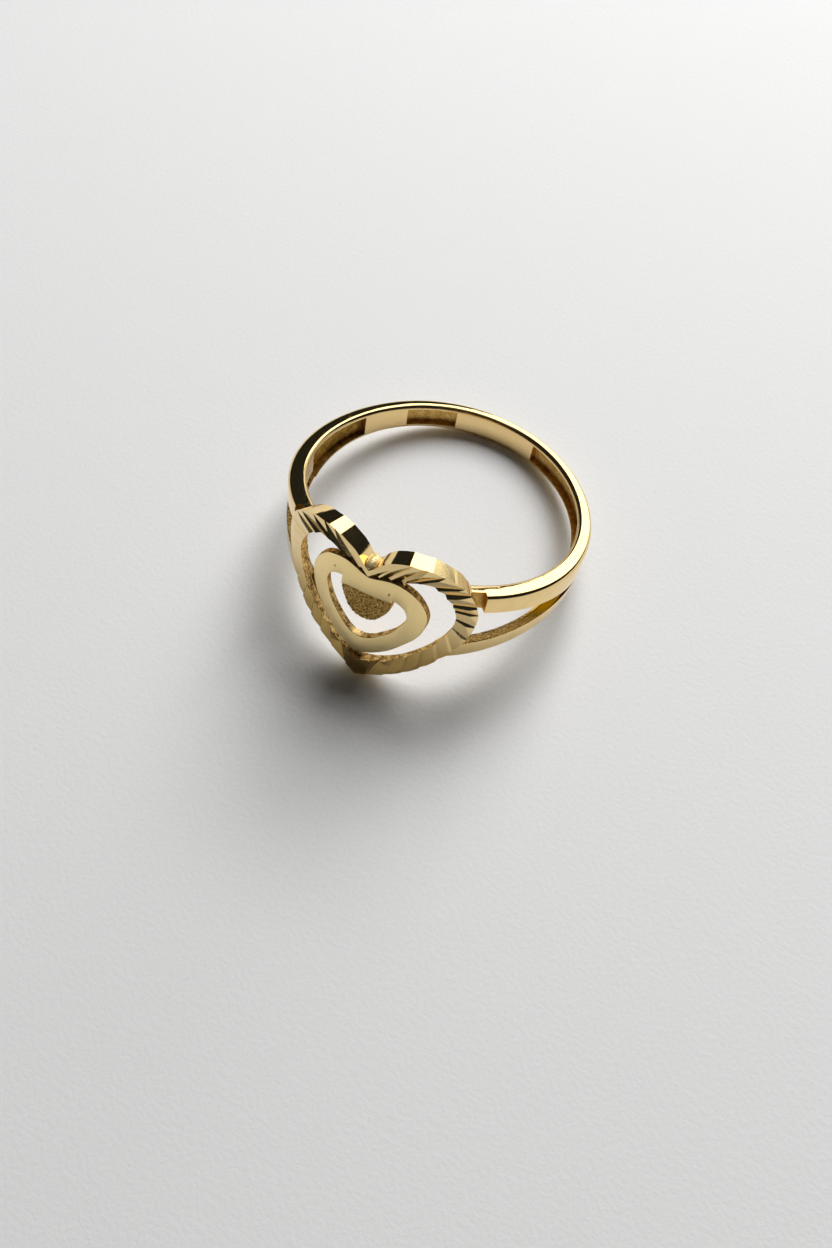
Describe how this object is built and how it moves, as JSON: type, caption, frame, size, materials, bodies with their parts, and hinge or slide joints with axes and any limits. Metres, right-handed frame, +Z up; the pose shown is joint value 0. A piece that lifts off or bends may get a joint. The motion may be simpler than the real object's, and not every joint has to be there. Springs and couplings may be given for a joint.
{
  "type": "heart ring",
  "caption": "Finger ring with a split-shouldered shank and an openwork front of nested hearts with cut facets, lying on its side.",
  "frame": {"origin": "middle of the ring's footprint on the surface it lies on", "axes": "+Z up from that surface, +Y from the heart towards the back of the shank, +X across the heart"},
  "size_m": [0.0186, 0.02, 0.0107],
  "materials": {
    "gold": "polished pale yellow gold"
  },
  "bodies": {
    "root": {"heart_ring": "gold"}
  },
  "joints": []
}
